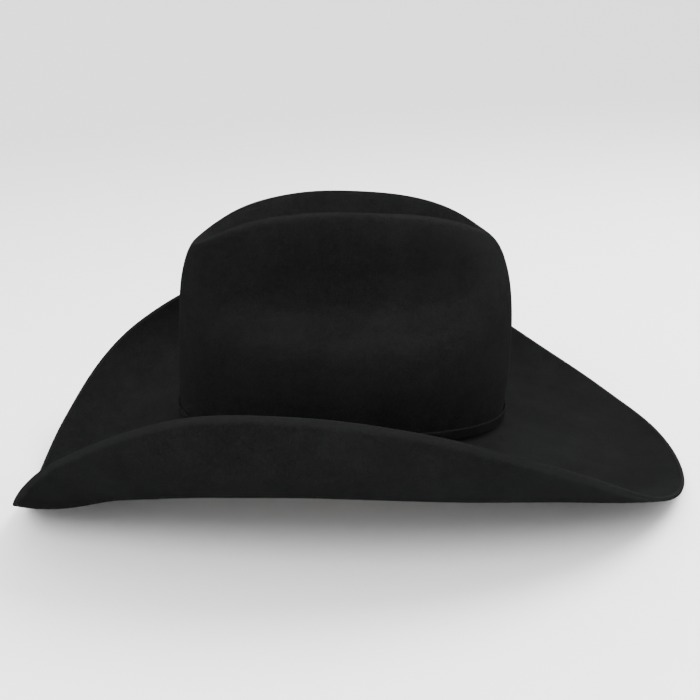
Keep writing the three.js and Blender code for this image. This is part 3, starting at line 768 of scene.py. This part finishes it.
def reed_tape():
    """Ribbed tape: it comes down behind the leather, goes round the reed and ends in a short lip. Ribs run
    across."""
    inset, height, _ = REED
    a = math.pi * (1 + np.linspace(0, 1, 17))

    def line(r, count=12):
        """One face of the tape, bent round the reed with radius r: down, round and up again."""
        rise = np.stack([np.full(count, inset - r), np.linspace(9, height + 0.3, count)], -1)
        arc = np.stack([inset + r * np.cos(a), height + r * np.sin(a)], -1)
        lip = np.stack([np.full(4, inset + r), np.linspace(height + 0.5, 0.35, 4)], -1)
        return np.concatenate([rise, arc, lip])

    loop = np.concatenate([line(1.72), line(1.32)[::-1]])
    phi = ring_angles(300)
    points = band_point(phi[None], loop[:, :1] + 0 * phi, loop[:, 1:] + 0 * phi)
    walked = arc_lengths(oval_line(phi))
    ribs_at = np.broadcast_to(walked / RIB, points.shape[:2])
    grid_piece("ribbed_reed_tape", points, RIBBON_LOOK, masks={"ribs": ribs_at},
               replaces=("reed_tape",))


def oval_line(phi):
    """Points of the head oval as (x, y)."""
    x, y, _, _ = oval(phi)
    return np.stack([x, y], -1)


def seam_strip():
    """Leather strip over the sweatband's joint at the back, with a row of stitches down each side."""
    half = SEAM_HALF / (HEAD_WIDTH * 0.9)
    phi = np.linspace(math.pi - half, math.pi + half, 28)
    out, up = bar_section(0.6, SEAM_TOP - SEAM_FOOT, 28, 9.0)
    size = round_ends(len(phi), 30)
    height = (SEAM_FOOT + SEAM_TOP) / 2 + up[:, None] * size
    inset = leather_face(height) + 0.65 - out[:, None] * size
    grid_piece("cover_strip_of_the_joint", band_point(phi[None], inset, height), LEATHER_LOOK,
               masks={"rub": 0.0}, replaces=("seam_tape",))
    heights = np.arange(SEAM_FOOT + 2, SEAM_TOP - 4, SEAM_STITCH)
    inwards = np.tile([1.0, 0, 0], (len(heights), 1))
    for name, side in (("joint_stitches_left", -1), ("joint_stitches_right", 1)):
        at = math.pi + side * half * 0.76
        starts, ends = (band_point(np.full(len(heights), at), leather_face(heights + h) + 0.97, heights + h)
                        for h in (0.0, 2.3))
        stitch_row(name, starts, ends, inwards, 0.24, THREAD_LOOK)


def ribbon_strip(name, path, half_widths, thick, at, ribs_length, replaces=()):
    """Ribbon along a flat path in the plane of (along, out), with a half width at each point. Its edges are
    round."""
    ahead = unit(np.gradient(path, axis=0))
    face = np.stack([ahead[:, 1], -ahead[:, 0]], -1)
    off, tall = bar_section(thick, 2.0, 12, 3.0)
    across = path[:, None] + face[:, None] * off[None, :, None]
    points = np.stack([across[..., 0], half_widths[:, None] * tall[None], across[..., 1]], -1)
    middle = np.stack([path[:, 0], 0 * path[:, 0], path[:, 1]], -1)[:, None] + 0 * points
    points = np.concatenate([middle[:1], points, middle[-1:]])
    walked = np.concatenate([[0], arc_lengths(path), [0]])[:, None]
    ribs_at = np.broadcast_to(walked / ribs_length, points.shape[:2])
    return grid_piece(name, on_frame(at, points), RIBBON_LOOK, closed=(False, True),
                      masks={"ribs": ribs_at}, replaces=replaces)


def bow():
    """Two ribbon loops and a knot, flat against the cover strip. A loop's path is a thin drop shape that
    leaves the knot and comes back to it. The ribbon is gathered where the knot holds it."""
    stand = leather_face(BOW_HEIGHT) + 0.95 + 1.2
    x, y, _, _ = oval(math.pi, stand)
    origin = np.array([x, y, BOW_HEIGHT + BREAK_HEIGHT[2]])
    at = (origin, np.array([0.0, 1.0, 0.0]), np.array([0.0, 0.0, 1.0]), np.array([1.0, 0.0, 0.0]))
    s = np.linspace(0, 1, 60)
    for name, side, node in (("bow_loop_left", -1, ()), ("bow_loop_right", 1, ("bow_loops",))):
        reach = 0.9 + (BOW_WIDTH / 2 - 0.9) * np.sin(math.pi * s) ** 0.8
        path = np.stack([side * reach, 0.75 - 0.62 * np.cos(math.pi * s)], -1)
        width = 4.9 * (0.42 + 0.58 * np.clip(np.sin(math.pi * s), 0, 1) ** 0.6)
        ribbon_strip(name, path, width, BOW_RIBBON, at, BOW_RIB, node)
    a = np.linspace(0, 2 * math.pi, 48)
    path = np.stack([1.7 * power(np.cos(a), 0.7), 0.75 + 1.25 * power(np.sin(a), 0.7)], -1)
    ribbon_strip("bow_knot", path, np.full(48, 2.5), BOW_RIBBON, at, BOW_RIB, ("bow_knot",))


def size_tag():
    """Blank tag tucked behind the sweatband, seen above its edge."""
    half = TAG_HALF / HEAD_WIDTH
    phi = np.linspace(TAG_AT - half, TAG_AT + half, 30)
    out, up = bar_section(0.3, TAG_TOP - TAG_FOOT, 24, 12.0)
    size = round_ends(len(phi), 40)
    height = (TAG_FOOT + TAG_TOP) / 2 + up[:, None] * size
    inset = leather_face(height) - LEATHER - 0.5 - out[:, None] * size
    grid_piece("blank_size_tag", band_point(phi[None], inset, height), TAG_LOOK,
               replaces=("size_tag",))


# ------------------------------------------------------------------------------ lining

def lining_side():
    """Satin side: the lining's surface between the sweatband and the seam at the tip, in small gathers that
    fade downwards. Two faces SATIN apart, joined at both edges. A satin piping covers the seam."""
    phi = ring_angles(720)[None]
    walk = np.linspace(TOP - 8.85, TOP - 2, 56)[:, None]
    near_seam = smooth(1 - (walk - walk[0]) / 3.2)
    pleats = np.sin(88 * phi + 1.4 * np.sin(7 * phi)) + 0.4 * np.sin(53 * phi + 2 * walk)
    gather = (0.34 * near_seam + 0.1) * pleats
    base, normal = lining_top(phi, walk), normal_of(lining_top, phi, np.broadcast_to(walk, (56, 720)), TOP)
    outer = base + normal * (-0.6 + gather)[..., None]
    inner = outer - normal * SATIN
    ribs_at = np.concatenate([walk, walk[::-1]]) * 40 + 0 * phi
    piece = grid_piece("gathered_satin_side", np.concatenate([outer, inner[::-1]]), SATIN_LOOK,
                       masks={"ribs": ribs_at}, replaces=("lining_side",))
    seam = lining_top(phi[0][::2], np.full(360, TOP - LINING_SEAM))
    normal = normal_of(lining_top, phi[0][::2], np.full(360, TOP - LINING_SEAM), TOP)
    piping = tube(seam - normal * 0.9, 0.75, 8)
    grid_piece("satin_piping", piping, SATIN_LOOK, masks={"ribs": 0.0})


def tip_sheet(name, look, steps, drop, thick, replaces, wrinkle=0.0, around=240, rows=40):
    """Sheet under the crown's hollow top, out to an oval edge: two faces joined at the edge, zipped on the
    spine."""
    phi = ring_angles(around)[None]
    walk = np.linspace(0, TOP - steps, rows)[:, None]
    base = lining_top(phi, walk)
    normal = normal_of(lining_top, phi, np.broadcast_to(walk, (rows, around)), TOP)
    wave = wrinkle * np.sin(9 * phi + 3 * walk) * np.sin(5 * phi - 2 * walk + 0.7)
    wave = wave * smooth(walk / walk[-1] * 2)
    outer = base + normal * (wave - drop)[..., None]
    inner = outer - normal * thick
    points = np.concatenate([outer, inner[::-1]])
    points[0, :, 1] = points[-1, :, 1] = 0
    ribs_at = np.concatenate([walk, walk[::-1]]) * 30 + 0 * phi
    return grid_piece(name, points, look, closed=(False, True), masks={"ribs": ribs_at},
                      replaces=replaces)


def lining_tip():
    """Oval top of the lining and the clear protector under it."""
    piece = tip_sheet("satin_tip", SATIN_LOOK, 9.05, 0.05, SATIN, ("lining_tip",), 0.25)
    piece = tip_sheet("clear_tip_protector", FILM_LOOK, SHIELD_EDGE, 1.15, 0.3, ("tip_shield",))


# ------------------------------------------------------------------------------ floor, light and camera

def studio():
    """Pale round floor that curves up into a wall all round, like a bowl: flat, then a quarter circle. An even
    pale surround, a large soft light above, and a weaker one from the viewer's side."""
    bend = np.linspace(0, math.pi / 2, 14)
    edge = FLOOR_FLAT + FLOOR_BEND
    reach = np.concatenate([[0.0, 1.0], FLOOR_FLAT + FLOOR_BEND * np.sin(bend), [edge]])[:, None]
    rise = np.concatenate([[0.0, 0.0], FLOOR_BEND - FLOOR_BEND * np.cos(bend), [WALL_TOP]])[:, None]
    around = ring_angles(FLOOR_AROUND)[None]
    points = np.stack([reach * np.cos(around), reach * np.sin(around), rise + 0 * around], -1)
    mesh = bpy.data.meshes.new("floor")
    r, c = (a.ravel() for a in np.meshgrid(
        np.arange(len(points) - 1), np.arange(FLOOR_AROUND), indexing="ij"))
    this, after, c1 = r * FLOOR_AROUND, (r + 1) * FLOOR_AROUND, (c + 1) % FLOOR_AROUND
    quads = np.stack([this + c, after + c, after + c1, this + c1], -1)
    mesh.from_pydata(points.reshape(-1, 3).tolist(), [], quads.tolist())
    mesh.shade_smooth()
    floor = bpy.data.objects.new("floor", mesh)
    bpy.context.collection.objects.link(floor)
    mesh.materials.append(material(
        "pale floor", plain,
        {"Dark": (0.91, 0.91, 0.91, 1), "Light": (0.94, 0.94, 0.94, 1), "Rough": 0.9, "Grain": 200.0}))
    world = bpy.data.worlds.new("surround")
    bpy.context.scene.world = world
    world.use_nodes = True
    world.node_tree.nodes["Background"].inputs["Color"].default_value = (1, 1, 1, 1)
    world.node_tree.nodes["Background"].inputs["Strength"].default_value = SURROUND_STRENGTH
    for name, place, size, watts in LIGHTS:
        data = bpy.data.lights.new(name, "AREA")
        data.shape, data.size, data.energy = "DISK", size, watts
        light = bpy.data.objects.new(name, data)
        light.location = place
        light.rotation_euler = (Vector(LIGHT_AIM) - Vector(place)).to_track_quat("-Z", "Y").to_euler()
        bpy.context.collection.objects.link(light)


def camera():
    """Camera that looks at AIM from DISTANCE along its azimuth and elevation, turned by ROLL about its
    view."""
    a, e, r = (math.radians(angle) for angle in (AZIMUTH, ELEVATION, ROLL))
    back = np.array([math.cos(a) * math.cos(e), math.sin(a) * math.cos(e), math.sin(e)])
    right = np.array([-math.sin(a), math.cos(a), 0.0])
    up = np.cross(back, right)
    right, up = right * math.cos(r) + up * math.sin(r), up * math.cos(r) - right * math.sin(r)
    origin = seat(np.zeros(3))
    turned = [(seat(axis) - origin) * 1000 for axis in (right, up, back)]
    data = bpy.data.cameras.new("view")
    data.lens, data.sensor_width, data.clip_start = LENS, SENSOR, 0.01
    view = bpy.data.objects.new("view", data)
    bpy.context.collection.objects.link(view)
    columns = [Vector(axis) for axis in turned] + [Vector(seat(np.array(AIM) + DISTANCE * back))]
    view.matrix_world = Matrix([[column[row] for column in columns] for row in range(3)] + [[0, 0, 0, 1]])
    bpy.context.scene.camera = view


felt_body()
hatband()
strap_end()
buckle()
folded_metal("strap_keeper", KEEPER_FROM, KEEPER_TO, *KEEPER_FOLD, ("keeper",))
folded_metal("strap_tip", TIP_FROM, TIP_TO, *TIP_FOLD, ("band_tip",))
sweatband()
reed()
reed_tape()
seam_strip()
bow()
size_tag()
lining_side()
lining_tip()
studio()
camera()
